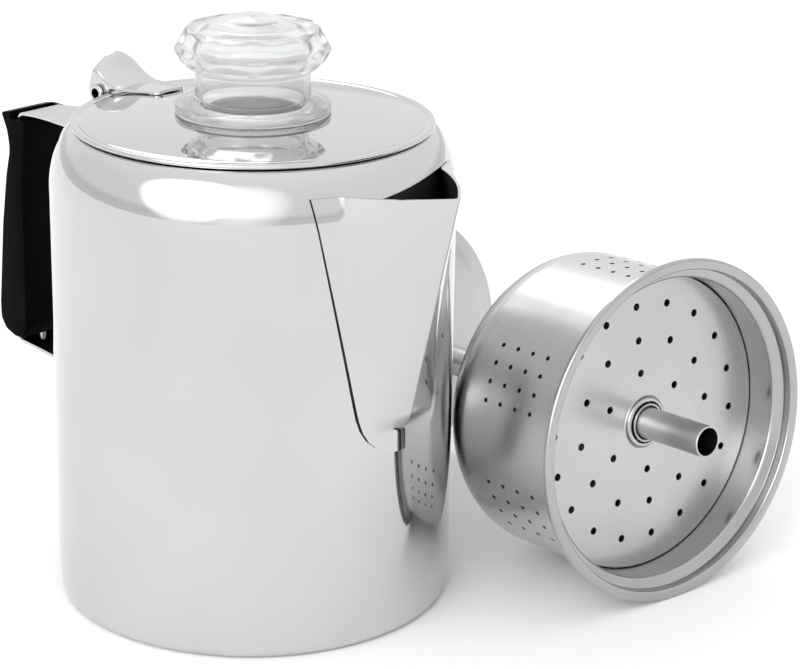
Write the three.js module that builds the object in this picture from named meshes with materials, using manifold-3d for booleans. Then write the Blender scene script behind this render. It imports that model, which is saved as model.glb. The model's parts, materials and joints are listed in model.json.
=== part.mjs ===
// Stovetop coffee percolator: a lidded steel pot with its pump, basket and spreader laid beside it.
// Millimetres, +Z up. The origin is the centre of the pot's flat base.
// +X runs through the spout, and the handle and the lid hinge are on the -X side.
import * as THREE from 'three';
import { mergeVertices } from 'three/addons/utils/BufferGeometryUtils.js';
import { ConvexGeometry } from 'three/addons/geometries/ConvexGeometry.js';
import Module from 'manifold-3d';

const wasm = await Module();
wasm.setup();

// ---------- driving dimensions ----------
const GAP = 0.3; // clearance between pieces that touch
const SHEET = 0.8; // thickness of the drawn steel sheet
const SIDES = 48; // facets round the pot and the lid
const INFUSER_SIDES = 40;
const SMALL_SIDES = 20; // facets round pins, tubes and collars

const POT_R = 75; // body radius
const FOOT_R = 74.4; // body radius just above the foot's curve
const FOOT_FILLET = 3.6;
const FOOT_TAPER_TOP = 20; // height where the body reaches its full radius
const SHOULDER_Z = 159.2; // height where the shoulder starts to turn in
const SHOULDER_POWER = 1.8; // how square the shoulder is
const RIM_R = 65; // crest of the rim, where the shoulder ends
const RIM_Z = 180.9;
const RIM_ROLL = 1.1; // the rim is rolled inwards at this radius

const LID_R = 66.8;
const LID_TOP = 183.1; // top of the lid's edge
const LID_CROWN = 185.5; // the lid's disc is domed up to this height
const LID_CROWN_R = 27; // the crown is flat inside this radius
const LID_EDGE = 1.9; // depth of the rolled edge
const LID_GROOVE_R = 63.6; // the shallow groove that turns down into the skirt
const LID_SKIRT_R = 62.6;
const LID_SKIRT_DEPTH = 7;
const LID_HOLE_R = 17.5;

const SPOUT_TOP = 172;
const SPOUT_BOTTOM = 73.6; // lowest point of the sheet's rounded tail
const SPOUT_TAIL_R = 20;
const SPOUT_RIDGE_LOW = [79.6, 89]; // radius and height where the front ridge starts
const SPOUT_RIDGE_TOP = [99.3, 172];
const SPOUT_HALF_LOW = 21.6; // half width of the sheet where its straight edges start
const SPOUT_HALF_TOP = 37.2;
const SPOUT_STRAIGHT_Z = 94;
const SPOUT_NOSE_R = 4.5;
const SPOUT_SHEET = 1;

const STRAP = 1.5; // thickness of the handle's strap
const STRAP_HALF = 9.6;
const STRAP_FLARE_HALF = 19.4;
const STRAP_BEND = 4;
const GRIP_HALF = 11.6;
const GRIP_SCREW_X = -122.4;
const SCREW_R = 1.6;
const SCREW_HOLE_R = 1.9;

const PIN_X = -72.4; // hinge pin axis, parallel to Y
const PIN_Z = 181.6;
const PIN_R = 2.9;
const PIN_BORE_R = 2;
const PIN_HALF = 12.4;
const EAR_FACE = 10.5; // outside face of each hinge ear
const EAR_HEEL_R = 4.8; // the ears are round about the pin below it, to swing clear of the shoulder
const ARM_SHEET = 1;
const KNUCKLE_R = 4.1;
const KNUCKLE_HALF = 8.6;
const KNUCKLE_LEAF = 1.2; // thickness of the leaf that joins the knuckle to the strap

const KNOB_SEAL = 0.6;
const KNOB_FLANGE_R = 28.6;
const KNOB_RECESS_R = 26.6;
const KNOB_NECK_R = 21.1;
const KNOB_BORE_R = 15.2;
const KNOB_FLUTES = 12;
const KNOB_FLUTE_DEPTH = 0.05; // share of the radius that a flute cuts in
const SPIGOT_R = 17;
const BAYONET_R = 20.6;
const BAYONET_HALF = 3.5;

const TUBE_R = 6.05; // pump tube
const TUBE_BORE_R = 5.3;
const TUBE_ABOVE = 15.7; // tube above the basket's flange
const BASE_R = 55.8; // pump base
const BASE_BELOW = 171.6; // rim of the pump base below the basket's flange
const BASE_DOME = 9;
const FERRULE_R = 9.5;

const FLANGE_R = 66.4; // basket
const LIP_DEPTH = 1.9; // how far the flange's edge turns down
const STEP_R = 62.5;
const STEP_DEPTH = 4.4;
const BASKET_R = 58.8;
const BASKET_DEPTH = 72.6;
const BASKET_FILLET = 17;
const BASKET_SHEET = 0.7;
const CLUSTER_ANGLES = [26, 86, 154.6, 208, 267, 327]; // centre of each group of wall holes, degrees
const CLUSTER_GRID = 4;
const CLUSTER_STEP = 7.1; // degrees between holes round the wall
const CLUSTER_PITCH = 8.2; // between holes along the wall
const CLUSTER_FIRST = -19.8; // the row nearest the flange
const WALL_HOLE_R = 0.85;
const SLEEVE_R = 7.6;
const SLEEVE_BORE_R = 6.6;
const SLEEVE_TOP = -15.7;

const SPREADER_Z = -18.2; // top face of the spreader plate
const SPREADER_R = 57.7;
const SPREADER_SHEET = 0.8;
const SPREADER_RINGS = [[6, 19.6], [12, 32.7], [18, 46.2]]; // holes and radius of each ring
const SPREADER_PHASE = 35; // degrees
const SPREADER_HOLE_R = 1.4;

// The laid-down pump and basket rest on the basket's flange and on the pump base's rim.
const REST_AZIMUTH = THREE.MathUtils.degToRad(-9.1);
const REST_TILT = Math.asin((FLANGE_R - BASE_R) / BASE_BELOW);
const REST_X = 126.8;
const REST_Y = 98.3;
const FLOOR_GAP = 0.05;

// ---------- helpers ----------
const v2 = (x, y) => new THREE.Vector2(x, y);
const deg = THREE.MathUtils.degToRad;

function arc(cx, cy, radius, from, to, steps) {
  const points = [];
  for (let i = 0; i <= steps; i += 1) {
    const a = deg(from + ((to - from) * i) / steps);
    points.push(v2(cx + radius * Math.cos(a), cy + radius * Math.sin(a)));
  }
  return points;
}

// A polyline with its inner corners turned into arcs of the given radius.
function rounded(corners, radius, steps = 4) {
  const points = [corners[0]];
  for (let i = 1; i < corners.length - 1; i += 1) {
    const back = corners[i - 1].clone().sub(corners[i]).normalize();
    const ahead = corners[i + 1].clone().sub(corners[i]).normalize();
    const half = Math.acos(THREE.MathUtils.clamp(back.dot(ahead), -1, 1)) / 2;
    const reach = radius / Math.tan(half);
    const start = corners[i].clone().addScaledVector(back, reach);
    const end = corners[i].clone().addScaledVector(ahead, reach);
    for (let k = 0; k <= steps; k += 1) {
      const t = k / steps;
      const a = start.clone().lerp(corners[i], t);
      points.push(a.lerp(corners[i].clone().lerp(end, t), t));
    }
  }
  points.push(corners[corners.length - 1]);
  return points;
}

// The polyline moved sideways: a positive distance moves it to the left of its direction.
function offset(points, distance) {
  return points.map((p, i) => {
    const before = points[Math.max(i - 1, 0)];
    const after = points[Math.min(i + 1, points.length - 1)];
    const along = after.clone().sub(before).normalize();
    return v2(p.x - along.y * distance, p.y + along.x * distance);
  });
}

function signedVolume(geometry) {
  const p = geometry.attributes.position;
  const index = geometry.index.array;
  const [a, b, c] = [new THREE.Vector3(), new THREE.Vector3(), new THREE.Vector3()];
  let volume = 0;
  for (let i = 0; i < index.length; i += 3) {
    a.fromBufferAttribute(p, index[i]);
    b.fromBufferAttribute(p, index[i + 1]);
    c.fromBufferAttribute(p, index[i + 2]);
    volume += a.dot(b.cross(c)) / 6;
  }
  return volume;
}

// Merges a geometry's shared corners and turns its faces outwards.
function closed(geometry) {
  const bare = geometry.clone();
  bare.deleteAttribute('normal');
  bare.deleteAttribute('uv');
  const merged = mergeVertices(bare, 1e-4);
  const index = merged.index.array;
  const kept = [];
  for (let i = 0; i < index.length; i += 3) {
    const [a, b, c] = [index[i], index[i + 1], index[i + 2]];
    if (a !== b && b !== c && c !== a) kept.push(a, b, c);
  }
  merged.setIndex(kept);
  if (signedVolume(merged) < 0) {
    for (let i = 0; i < kept.length; i += 3) [kept[i], kept[i + 1]] = [kept[i + 1], kept[i]];
    merged.setIndex(kept);
  }
  return merged;
}

function solid(geometry) {
  const g = closed(geometry);
  return new wasm.Manifold(new wasm.Mesh({
    numProp: 3,
    vertProperties: new Float32Array(g.attributes.position.array),
    triVerts: new Uint32Array(g.index.array),
  }));
}

function geometryOf(manifold) {
  const mesh = manifold.getMesh();
  const geometry = new THREE.BufferGeometry();
  geometry.setAttribute('position', new THREE.BufferAttribute(new Float32Array(mesh.vertProperties), 3));
  geometry.setIndex(new THREE.BufferAttribute(new Uint32Array(mesh.triVerts), 1));
  return geometry;
}

// Turns an outline of (radius, height) points about the Z axis. A ring's outline closes on itself.
function turned(outline, sides, ring = false) {
  const points = ring ? [...outline, outline[0].clone()] : outline;
  return new THREE.LatheGeometry(points, sides).rotateX(Math.PI / 2);
}

// Extrudes an outline of (x, z) points along Y, centred on y = 0.
function sidePlate(points, width) {
  const geometry = new THREE.ExtrudeGeometry(new THREE.Shape(points), { depth: width, bevelEnabled: false });
  return geometry.rotateX(Math.PI / 2).translate(0, width / 2, 0);
}

// Extrudes an outline of (x, y) points up from the height low to the height high.
function topPlate(points, low, high) {
  const options = { depth: high - low, bevelEnabled: false };
  return new THREE.ExtrudeGeometry(new THREE.Shape(points), options).translate(0, 0, low);
}

function rod(radius, length, sides) {
  return new THREE.CylinderGeometry(radius, radius, length, sides).rotateX(Math.PI / 2);
}

function ribbon(path, thickness) {
  return [...offset(path, thickness / 2), ...offset(path, -thickness / 2).reverse()];
}

// ---------- materials ----------
const steel = (color, roughness) => new THREE.MeshStandardMaterial({ color, metalness: 1, roughness });
const plastic = (color, roughness) => new THREE.MeshStandardMaterial({ color, metalness: 0, roughness });
const POLISHED = 0xd8d8d8;
const BRUSHED = 0xb9b9b9;
const GREY_STEEL = 0x8f8f8f;
const CLEAR = 0xf2f4f4;
const SILICONE = 0xcfcfcb;
const BLACK = 0x0c0c0c;

// ---------- pot ----------
function shoulder(steps = 7) {
  const points = [];
  for (let i = 0; i <= steps; i += 1) {
    const t = Math.sin((i / steps) * (Math.PI / 2));
    const r = RIM_R + (POT_R - RIM_R) * (1 - t ** SHOULDER_POWER) ** (1 / SHOULDER_POWER);
    points.push(v2(r, SHOULDER_Z + (RIM_Z - SHOULDER_Z) * t));
  }
  return points;
}

function potSkin() {
  return [
    ...arc(FOOT_R - FOOT_FILLET, FOOT_FILLET, FOOT_FILLET, -90, 0, 3),
    v2(POT_R, FOOT_TAPER_TOP),
    ...shoulder(),
  ];
}

function potBody() {
  const skin = potSkin();
  const roll = arc(RIM_R, RIM_Z - RIM_ROLL, RIM_ROLL, 120, 270, 5);
  const rollEdge = RIM_R + RIM_ROLL;
  const lining = offset(skin, SHEET).reverse().filter((p) => p.x > rollEdge || p.y < SHOULDER_Z);
  const shell = solid(turned([v2(0, 0), ...skin, ...roll, ...lining, v2(0, SHEET)], SIDES));
  return strainer().reduce((body, hole) => body.subtract(hole), shell);
}

// The pot's outside as one solid, grown by a clearance: it trims the pieces fitted to the wall.
function potForm(clearance) {
  const skin = offset(potSkin(), -clearance);
  return solid(turned([v2(0, -clearance), ...skin, v2(0, RIM_Z)], 96));
}

// Pouring holes through the wall behind the spout, in rows that widen with the spout.
function strainer() {
  const holes = [];
  const radius = 2.6;
  const pitch = 9;
  for (let row = 0; row < 6; row += 1) {
    const z = 98 + row * 10;
    const count = row < 2 ? 2 : row < 4 ? 3 : 4;
    for (let i = 0; i < count; i += 1) {
      const y = (i - (count - 1) / 2) * pitch;
      const hole = new THREE.CylinderGeometry(radius, radius, 30, 6).rotateZ(Math.PI / 2);
      holes.push(solid(hole.translate(POT_R, y, z)));
    }
  }
  return holes;
}

// The V of the spout as one convex solid: inset shrinks it to cut the passage.
function spoutWedge(inset, top) {
  const points = [];
  const [lowR, lowZ] = SPOUT_RIDGE_LOW;
  const [topR, topZ] = SPOUT_RIDGE_TOP;
  const ridge = (z) => lowR + ((topR - lowR) * (z - lowZ)) / (topZ - lowZ) - inset;
  const half = (z) => {
    const grow = (SPOUT_HALF_TOP - SPOUT_HALF_LOW) / (SPOUT_TOP - SPOUT_STRAIGHT_Z);
    return SPOUT_HALF_LOW + grow * (z - SPOUT_STRAIGHT_Z) - inset * 1.6;
  };
  const nose = (z, radius) => {
    const bend = arc(ridge(z) - radius, 0, radius, -60, 60, 6);
    for (const p of bend) points.push(new THREE.Vector3(p.x, p.y, z));
  };
  const root = (z) => {
    const y = half(z) * 0.97;
    const x = Math.sqrt(POT_R ** 2 - y ** 2) - 1.5;
    points.push(new THREE.Vector3(x, y, z), new THREE.Vector3(x, -y, z));
    points.push(new THREE.Vector3(x - 12, y, z), new THREE.Vector3(x - 12, -y, z));
  };
  nose(top, SPOUT_NOSE_R);
  root(top);
  nose(lowZ + inset, 1);
  root(lowZ + inset);
  points.push(new THREE.Vector3(POT_R, 0, 79 + 2 * inset));
  points.push(new THREE.Vector3(POT_R - 12, 0, 79 + 2 * inset));
  return solid(new ConvexGeometry(points));
}

// The outline of the spout's sheet seen along X, as (y, z).
function spoutOutline() {
  const tail = arc(0, SPOUT_BOTTOM + SPOUT_TAIL_R, SPOUT_TAIL_R, 194, 346, 10);
  return [v2(-SPOUT_HALF_TOP, SPOUT_TOP), ...tail, v2(SPOUT_HALF_TOP, SPOUT_TOP)];
}

function spout() {
  const skin = solid(turned([
    v2(POT_R - 6, SPOUT_BOTTOM - 2),
    v2(POT_R + GAP + SPOUT_SHEET, SPOUT_BOTTOM - 2),
    ...offset(shoulder(), -GAP - SPOUT_SHEET),
    v2(POT_R - 6, SPOUT_TOP + 5),
  ], 96, true));
  const outline = new THREE.Shape(spoutOutline());
  const window = new THREE.ExtrudeGeometry(outline, { depth: 60, bevelEnabled: false });
  window.rotateX(Math.PI / 2).rotateZ(Math.PI / 2).translate(50, 0, 0);
  const patch = skin.intersect(solid(window));
  const sheet = patch.add(spoutWedge(0, SPOUT_TOP));
  const above = [v2(0, -60), v2(120, -60), v2(120, 60), v2(0, 60)];
  const openTop = solid(topPlate(above, SPOUT_TOP, SPOUT_TOP + 20));
  return sheet.subtract(spoutWedge(SPOUT_SHEET, SPOUT_TOP + 6)).subtract(openTop).subtract(potForm(GAP));
}

// ---------- handle ----------
const STRAP_TOP = v2(-66, 169.6); // strap centre line as (x, z): top plate, grip, lower leg, foot
const STRAP_TURN = v2(-121.8, 164.4);
const STRAP_LOW = v2(-127, 69.6);
const STRAP_HEEL = v2(-76.6, 63.4);
const STRAP_TOE = v2(-76.6, 48);

// Height of the top plate's centre line at x.
function strapHeight(x) {
  const slope = (STRAP_TOP.y - STRAP_TURN.y) / (STRAP_TOP.x - STRAP_TURN.x);
  return STRAP_TURN.y + slope * (x - STRAP_TURN.x);
}

function handleStrap() {
  const path = rounded([STRAP_TOP, STRAP_TURN, STRAP_LOW, STRAP_HEEL, STRAP_TOE], STRAP_BEND);
  const band = solid(sidePlate(ribbon(path, STRAP), 2 * STRAP_HALF));
  const topPath = [STRAP_TOP, STRAP_TOP.clone().lerp(STRAP_TURN, 0.88)];
  const flareRun = sidePlate(ribbon(topPath, STRAP), 2 * STRAP_FLARE_HALF);
  const flare = topPlate([
    v2(-60, -STRAP_FLARE_HALF),
    v2(-74, -STRAP_FLARE_HALF),
    v2(-116, -STRAP_HALF),
    v2(-116, STRAP_HALF),
    v2(-74, STRAP_FLARE_HALF),
    v2(-60, STRAP_FLARE_HALF),
  ], 150, 190);
  const screwHole = rod(SCREW_HOLE_R, 10, 12).translate(GRIP_SCREW_X, 0, STRAP_LOW.y);
  return band.add(solid(flareRun).intersect(solid(flare))).subtract(potForm(GAP)).subtract(solid(screwHole));
}

function gripOutline() {
  const outside = new THREE.SplineCurve([
    v2(-129.8, 164), v2(-126.6, 158.5), v2(-125.4, 152), v2(-127, 144), v2(-129.6, 134),
    v2(-132, 112), v2(-134.3, 86), v2(-134.2, 79),
  ]).getPoints(14);
  const heel = [v2(-132.4, 75.4), v2(-129, 73.6)];
  const inside = [v2(-121, 73.6), v2(-118.4, 76.5), v2(-118.4, 134), v2(-116.2, 158), v2(-116.6, 162.2)];
  return [...outside, ...heel, ...inside, v2(-121.4, 162.4), v2(-124.6, 164)];
}

function handleGrip() {
  const body = solid(sidePlate(gripOutline(), 2 * GRIP_HALF));
  const path = rounded([STRAP_TOP, STRAP_TURN, STRAP_LOW, STRAP_HEEL], STRAP_BEND);
  const slot = sidePlate(ribbon(path, STRAP + 2 * GAP), 2 * (STRAP_HALF + GAP));
  const mouth = topPlate([v2(-125.2, -10), v2(-114, -10), v2(-114, 10), v2(-125.2, 10)], 162.6, 170);
  const screwHole = rod(SCREW_HOLE_R, 16, 12).translate(GRIP_SCREW_X, 0, 76);
  return body.subtract(solid(slot)).subtract(solid(mouth)).subtract(solid(screwHole));
}

function gripScrew() {
  const headTop = 67.6;
  const outline = [
    v2(0, headTop - 2.4), v2(2.4, headTop - 2.2), v2(3.4, headTop - 1.2), v2(3.5, headTop - GAP),
    v2(SCREW_R, headTop - GAP), v2(SCREW_R, 82), v2(0, 83),
  ];
  return turned(outline, 16).translate(GRIP_SCREW_X, 0, 0);
}

// ---------- hinge ----------
function hingeKnuckle() {
  const barrel = solid(new THREE.CylinderGeometry(KNUCKLE_R, KNUCKLE_R, 2 * KNUCKLE_HALF, 24));
  const rise = STRAP / 2 + GAP + KNUCKLE_LEAF / 2;
  const onStrap = (x) => v2(x, strapHeight(x) + rise);
  const path = rounded([v2(PIN_X - KNUCKLE_R + 0.6, PIN_Z), onStrap(-76.2), onStrap(-90)], 2);
  const web = sidePlate(ribbon(path, KNUCKLE_LEAF), 2 * KNUCKLE_HALF);
  const bore = new THREE.CylinderGeometry(PIN_R + GAP, PIN_R + GAP, 3 * KNUCKLE_HALF, 24);
  const leaf = barrel.translate([PIN_X, 0, PIN_Z]).add(solid(web));
  return leaf.subtract(solid(bore).translate([PIN_X, 0, PIN_Z]));
}

function hingePin() {
  const outline = [
    v2(PIN_BORE_R, -PIN_HALF), v2(PIN_R + 0.5, -PIN_HALF), v2(PIN_R + 0.5, -PIN_HALF + 0.8),
    v2(PIN_R, -PIN_HALF + 1.6), v2(PIN_R, PIN_HALF - 1.6), v2(PIN_R + 0.5, PIN_HALF - 0.8),
    v2(PIN_R + 0.5, PIN_HALF), v2(PIN_BORE_R, PIN_HALF),
  ];
  return turned(outline, SMALL_SIDES, true).rotateX(Math.PI / 2).translate(PIN_X, 0, PIN_Z);
}

// Hood, ears and tongue, pressed from one sheet and fixed to the lid.
function lidArm() {
  const crest = v2(-76.6, 195.4);
  const foot = v2(-63.6, LID_TOP + GAP + ARM_SHEET);
  const heel = arc(PIN_X, PIN_Z, EAR_HEEL_R, -50, -165, 6);
  const earPoints = [crest, foot, v2(-67, 183.8), v2(-68, 181.6), ...heel, v2(-79, 183)];
  const outer = solid(sidePlate(earPoints, 2 * EAR_FACE));
  const inside = sidePlate([
    v2(-90, 170), v2(-90, 198.5), v2(-76.8, 194.2), v2(-66.2, 185.4), v2(-66.2, 170),
  ], 2 * (EAR_FACE - ARM_SHEET));
  const tonguePath = [v2(-66.4, foot.y - 0.4), v2(-56, foot.y + 0.5), v2(-43, foot.y + 1.6)]; // along the lid
  const tongue = solid(sidePlate(ribbon(tonguePath, ARM_SHEET), 2 * EAR_FACE));
  const taper = topPlate([
    v2(-80, -EAR_FACE), v2(-64, -EAR_FACE), v2(-43, -8.4), v2(-41, -6), v2(-41, 6), v2(-43, 8.4),
    v2(-64, EAR_FACE), v2(-80, EAR_FACE),
  ], 170, 200);
  const bore = new THREE.CylinderGeometry(PIN_R + GAP, PIN_R + GAP, 60, 24).translate(PIN_X, 0, PIN_Z);
  const crown = new THREE.CylinderGeometry(21, 21, 60, 48).rotateZ(Math.PI / 2).translate(-70, 0, 0);
  const dome = solid(crown.translate(0, 0, 196.6 - 21)).add(
    solid(topPlate([v2(-100, -20), v2(-30, -20), v2(-30, 20), v2(-100, 20)], 160, 186)),
  );
  const hood = outer.subtract(solid(inside));
  return hood.add(tongue.intersect(solid(taper))).intersect(dome).subtract(solid(bore));
}

// ---------- lid ----------
function lid() {
  const roll = LID_EDGE / 2;
  const dome = [];
  for (let i = 0; i <= 4; i += 1) {
    const share = i / 4;
    const radius = LID_CROWN_R + (LID_GROOVE_R - 1 - LID_CROWN_R) * share;
    dome.push(v2(radius, LID_CROWN - (LID_CROWN - LID_TOP) * share ** 2));
  }
  const outline = [
    v2(LID_HOLE_R, LID_CROWN),
    ...dome,
    v2(LID_GROOVE_R, LID_TOP - 0.35),
    v2(LID_GROOVE_R + 1, LID_TOP),
    ...arc(LID_R - roll, LID_TOP - roll, roll, 90, -90, 4),
    v2(LID_GROOVE_R, LID_TOP - LID_EDGE),
    v2(LID_SKIRT_R, LID_TOP - LID_EDGE - 0.6),
    v2(LID_SKIRT_R, LID_TOP - LID_SKIRT_DEPTH),
    v2(LID_SKIRT_R - SHEET, LID_TOP - LID_SKIRT_DEPTH),
    v2(LID_SKIRT_R - SHEET, LID_TOP - SHEET - 0.8),
    ...dome.slice(0, -1).reverse().map((p) => v2(p.x, p.y - SHEET)),
    v2(LID_HOLE_R, LID_CROWN - SHEET),
  ];
  const disc = solid(turned(outline, SIDES, true));
  const notch = new THREE.BoxGeometry(2 * BAYONET_HALF + 1, 2 * (BAYONET_R + 0.5), 6);
  return disc.subtract(solid(notch).translate([0, 0, LID_CROWN]));
}

// ---------- knob ----------
function knob() {
  const foot = LID_CROWN + GAP; // underside of the clear flange
  const recess = foot + KNOB_SEAL + GAP; // the seal sits in a recess under the flange
  const outside = [
    v2(SPIGOT_R, LID_CROWN - 3.6), v2(SPIGOT_R, recess), v2(KNOB_RECESS_R, recess), v2(KNOB_RECESS_R, foot),
    v2(KNOB_FLANGE_R, foot), v2(KNOB_FLANGE_R, foot + 2.7), v2(KNOB_FLANGE_R - 0.7, foot + 3.2),
    v2(KNOB_NECK_R + 1.6, foot + 3.5), v2(KNOB_NECK_R, foot + 5.1),
    v2(KNOB_NECK_R, 201.1), v2(24.4, 202.9), v2(26.6, 204.5), v2(28.5, 207.4), v2(28.9, 208.8), v2(26.6, 213),
    v2(24.2, 217.1), v2(21.5, 217.1), v2(15.9, 217.4), v2(12, 219.4), v2(8, 220.8), v2(4, 221.6),
    v2(0, 221.9),
  ];
  const cavity = [
    v2(0, 218.6), v2(8, 217.8), v2(14, 216), v2(20.4, 213.2), v2(22.6, 208.6), v2(18.9, 203.4),
    v2(18.9, 190), v2(KNOB_BORE_R, 186.6), v2(KNOB_BORE_R, LID_CROWN - 3.6),
  ];
  const shell = turned([...outside, ...cavity], 3 * KNOB_FLUTES, true);
  flute(shell);
  const ears = new THREE.BoxGeometry(2 * BAYONET_R, 2 * BAYONET_HALF, 1.8).translate(0, 0, LID_CROWN - 2.4);
  const hollow = rod(KNOB_BORE_R, 40, 3 * KNOB_FLUTES).translate(0, 0, 190);
  return solid(shell).add(solid(ears).subtract(solid(hollow)));
}

// Presses shallow flutes into the knob's head, fading out towards its neck and its crown.
function flute(geometry) {
  const p = geometry.attributes.position;
  const point = new THREE.Vector3();
  for (let i = 0; i < p.count; i += 1) {
    point.fromBufferAttribute(p, i);
    const r = Math.hypot(point.x, point.y);
    const fade = THREE.MathUtils.smoothstep(point.z, 202, 206) * THREE.MathUtils.smoothstep(r, 22.5, 26);
    const wave = 0.5 - 0.5 * Math.cos(KNOB_FLUTES * Math.atan2(point.y, point.x));
    const scale = 1 - KNOB_FLUTE_DEPTH * fade * wave;
    p.setXYZ(i, point.x * scale, point.y * scale, point.z);
  }
}

function knobSeal() {
  const low = LID_CROWN + GAP;
  const edge = KNOB_RECESS_R - GAP;
  return turned([
    v2(SPIGOT_R + GAP, low), v2(edge, low), v2(edge, low + KNOB_SEAL), v2(SPIGOT_R + GAP, low + KNOB_SEAL),
  ], 3 * KNOB_FLUTES, true);
}

// ---------- pump (its own frame: z = 0 at the basket's flange, +z towards the tube's mouth) ----------
function pumpTube() {
  const foot = -BASE_BELOW + BASE_DOME - 3;
  return turned([
    v2(TUBE_BORE_R, foot), v2(TUBE_R, foot), v2(TUBE_R, TUBE_ABOVE - 0.3), v2(TUBE_R - 0.3, TUBE_ABOVE),
    v2(TUBE_BORE_R, TUBE_ABOVE),
  ], SMALL_SIDES, true);
}

function pumpBase() {
  const rim = -BASE_BELOW;
  const path = [
    v2(TUBE_R + GAP, rim + BASE_DOME), v2(14, rim + BASE_DOME), v2(18, rim + BASE_DOME - 1),
    v2(46, rim + 3), v2(50, rim + 1.4), v2(BASE_R, rim + 0.5),
  ];
  const dish = solid(turned([...offset(path, 0.45), ...offset(path, -0.45).reverse()], INFUSER_SIDES, true));
  let result = dish;
  for (let i = 0; i < 4; i += 1) {
    const a = deg(45 + 90 * i);
    const inlet = rod(2.2, 30, 12).translate(26 * Math.cos(a), 26 * Math.sin(a), rim);
    result = result.subtract(solid(inlet));
  }
  return result;
}

function pumpFerrule() {
  const low = -BASE_BELOW + BASE_DOME + 0.45 + GAP;
  return turned([
    v2(TUBE_R + GAP, low), v2(FERRULE_R, low), v2(FERRULE_R, low + 1.2), v2(7.8, low + 3), v2(7.8, low + 7),
    v2(7, low + 8), v2(TUBE_R + GAP, low + 8),
  ], SMALL_SIDES, true);
}

function tubeStop() {
  const high = -BASKET_DEPTH - 1.7;
  return turned([
    v2(TUBE_R + GAP, high - 5), v2(7.6, high - 5), v2(8.6, high - 4), v2(8.6, high - 1), v2(7.6, high),
    v2(TUBE_R + GAP, high),
  ], SMALL_SIDES, true);
}

// ---------- basket ----------
function basket() {
  const wall = BASKET_R - BASKET_SHEET / 2;
  const fillet = BASKET_FILLET - BASKET_SHEET / 2;
  const floor = -BASKET_DEPTH + BASKET_SHEET / 2;
  const half = BASKET_SHEET / 2;
  const path = [
    v2(FLANGE_R - half, -LIP_DEPTH), v2(FLANGE_R - half, -0.9), v2(FLANGE_R - 0.9, -half),
    v2(STEP_R + 0.7, -half), v2(STEP_R, -1), v2(STEP_R, -STEP_DEPTH + 0.6), v2(STEP_R - 0.8, -STEP_DEPTH),
    v2(wall + 1.2, -STEP_DEPTH - 1.2), v2(wall, -STEP_DEPTH - 2.6),
    ...arc(wall - fillet, floor + fillet, fillet, 0, -90, 4),
    v2(SLEEVE_R + GAP + 0.2, floor),
  ];
  const shell = solid(turned([...offset(path, half), ...offset(path, -half).reverse()], INFUSER_SIDES, true));
  return wallHoles().reduce((body, hole) => body.subtract(hole), shell);
}

function wallHoles() {
  const holes = [];
  for (const centre of CLUSTER_ANGLES) {
    for (let i = 0; i < CLUSTER_GRID; i += 1) {
      const angle = deg(centre + (i - (CLUSTER_GRID - 1) / 2) * CLUSTER_STEP);
      for (let j = 0; j < CLUSTER_GRID; j += 1) {
        const hole = new THREE.CylinderGeometry(WALL_HOLE_R, WALL_HOLE_R, 8, 4).rotateZ(Math.PI / 2);
        hole.translate(BASKET_R, 0, CLUSTER_FIRST - j * CLUSTER_PITCH).rotateZ(angle);
        holes.push(solid(hole));
      }
    }
  }
  return holes;
}

// Guide tube through the basket's floor: a foot above and a rolled lip below hold it in the floor,
// and a bead near its top carries the spreader.
function basketSleeve() {
  const inside = -BASKET_DEPTH + BASKET_SHEET + GAP;
  const under = -BASKET_DEPTH - GAP;
  const bead = SPREADER_Z - SPREADER_SHEET - GAP;
  return turned([
    v2(SLEEVE_BORE_R, under - 1), v2(10.2, under - 1), v2(10.2, under), v2(SLEEVE_R - 0.1, under),
    v2(SLEEVE_R - 0.1, inside), v2(11, inside), v2(11, inside + 0.8), v2(SLEEVE_R + 0.6, inside + 1.4),
    v2(SLEEVE_R, inside + 2.4), v2(SLEEVE_R, bead - 2.2), v2(9.4, bead - 1), v2(9.4, bead),
    v2(SLEEVE_R, bead), v2(SLEEVE_R, SLEEVE_TOP - 0.3), v2(SLEEVE_R - 0.3, SLEEVE_TOP),
    v2(SLEEVE_BORE_R, SLEEVE_TOP),
  ], SMALL_SIDES, true);
}

// ---------- spreader ----------
function spreaderPlate() {
  const half = SPREADER_SHEET / 2;
  const mid = SPREADER_Z - half;
  const path = [
    v2(SLEEVE_R + GAP + half, mid + 1.7), v2(SLEEVE_R + GAP + half + 0.3, mid + 0.9), v2(9.9, mid + 0.2),
    v2(11, mid), v2(SPREADER_R - 1.4, mid), v2(SPREADER_R - 0.6, mid - 0.4), v2(SPREADER_R - half, mid - 1.2),
    v2(SPREADER_R - half, mid - 4),
  ];
  const shell = solid(turned([...offset(path, half), ...offset(path, -half).reverse()], INFUSER_SIDES, true));
  return spreaderHoles().reduce((body, hole) => body.subtract(hole), shell);
}

function spreaderHoles() {
  const holes = [];
  for (const [count, radius] of SPREADER_RINGS) {
    for (let i = 0; i < count; i += 1) {
      const a = deg(SPREADER_PHASE + (360 * i) / count);
      const hole = rod(SPREADER_HOLE_R, 6, 5);
      holes.push(solid(hole.translate(radius * Math.cos(a), radius * Math.sin(a), SPREADER_Z)));
    }
  }
  return holes;
}

// ---------- assembly ----------
function piece(name, shape, material) {
  const geometry = shape instanceof THREE.BufferGeometry ? closed(shape) : geometryOf(shape);
  geometry.computeVertexNormals();
  const mesh = new THREE.Mesh(geometry, material);
  mesh.name = name;
  return mesh;
}

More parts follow.
